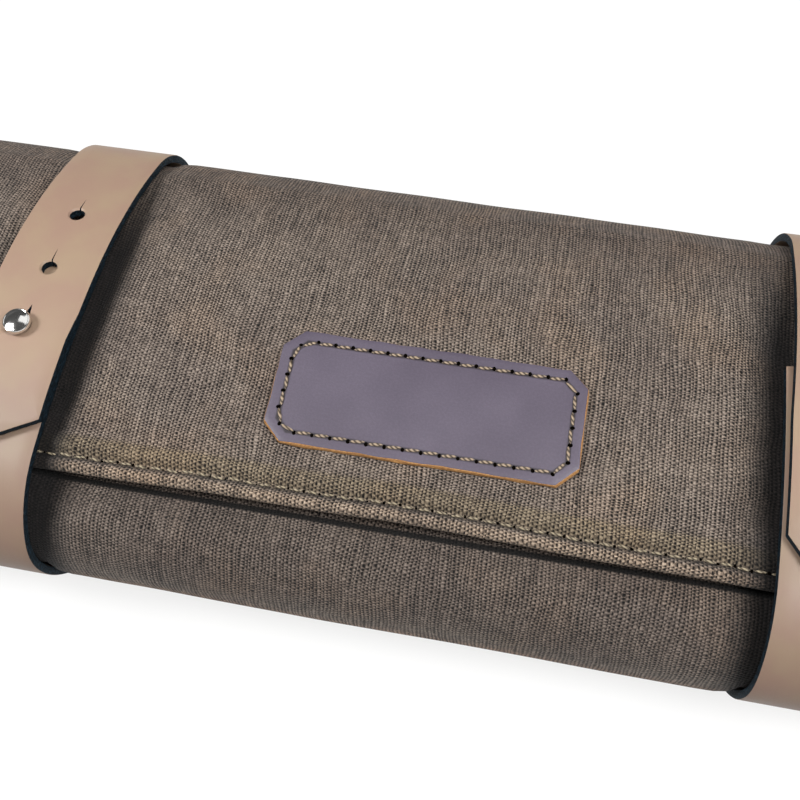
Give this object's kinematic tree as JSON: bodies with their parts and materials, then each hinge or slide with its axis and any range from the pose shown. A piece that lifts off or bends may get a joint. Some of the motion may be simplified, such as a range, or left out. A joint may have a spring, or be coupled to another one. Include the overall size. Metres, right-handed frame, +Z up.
{
  "type": "watch roll",
  "caption": "Padded canvas watch roll with a fold-over flap, a blank leather patch, leather straps on studs, and pillows and dividers inside.",
  "frame": {"origin": "middle of the roll's length and depth, on the surface that it stands on", "axes": "+X along the roll, towards the strap that is on the right from the front; +Y towards the back, where the flap is hinged; +Z up"},
  "size_m": [0.28, 0.107, 0.0557],
  "materials": {
    "canvas": "matte",
    "lining": "matte",
    "padding": "matte",
    "pillow": "matte",
    "strap_leather": "satin",
    "patch_leather": "satin",
    "thread": "matte",
    "nickel": "polished"
  },
  "bodies": {
    "roll": {"canvas_body": "canvas", "padding_body": "padding", "lining_body": "lining", "front_hem": "canvas", "end_left": "canvas", "end_right": "canvas", "end_padding_left": "padding", "end_padding_right": "padding", "end_lining_left": "lining", "end_lining_right": "lining", "divider_1": "lining", "divider_2": "lining", "divider_3": "lining", "watch_pillow_1": "pillow", "watch_pillow_2": "pillow", "watch_pillow_3": "pillow", "watch_pillow_4": "pillow", "strap_band_left": "strap_leather", "strap_band_right": "strap_leather", "rivet_left": "nickel", "rivet_right": "nickel"},
    "flap": {"flap_canvas": "canvas", "flap_padding": "padding", "flap_lining": "lining", "flap_hem": "canvas", "hem_stitching": "thread", "label_patch": "patch_leather", "label_stitching": "thread", "strap_back_left": "strap_leather", "strap_back_right": "strap_leather", "flap_rivet_left": "nickel", "flap_rivet_right": "nickel"},
    "left_tongue": {"tongue_left": "strap_leather"},
    "right_tongue": {"tongue_right": "strap_leather"},
    "left_stud_end": {"stud_end_left": "strap_leather", "stud_left": "nickel", "stud_screw_left": "nickel"},
    "right_stud_end": {"stud_end_right": "strap_leather", "stud_right": "nickel", "stud_screw_right": "nickel"}
  },
  "joints": [
    {"name": "flap_hinge", "type": "hinge", "parent": "roll", "child": "flap", "pos_m": [0, 0.0531, 0.0258], "axis": [-1, 0, 0], "range_deg": [0, 120]},
    {"name": "left_tongue_fold", "type": "hinge", "parent": "flap", "child": "left_tongue", "pos_m": [-0.079, 0.04138, 0.04531], "axis": [-1, 0, 0], "range_deg": [0, 55]},
    {"name": "right_tongue_fold", "type": "hinge", "parent": "flap", "child": "right_tongue", "pos_m": [0.079, 0.04138, 0.04531], "axis": [-1, 0, 0], "range_deg": [0, 55]},
    {"name": "left_stud_end_fold", "type": "hinge", "parent": "roll", "child": "left_stud_end", "pos_m": [-0.079, -0.0531, 0.0258], "axis": [1, 0, 0], "range_deg": [0, 160]},
    {"name": "right_stud_end_fold", "type": "hinge", "parent": "roll", "child": "right_stud_end", "pos_m": [0.079, -0.0531, 0.0258], "axis": [1, 0, 0], "range_deg": [0, 160]}
  ]
}
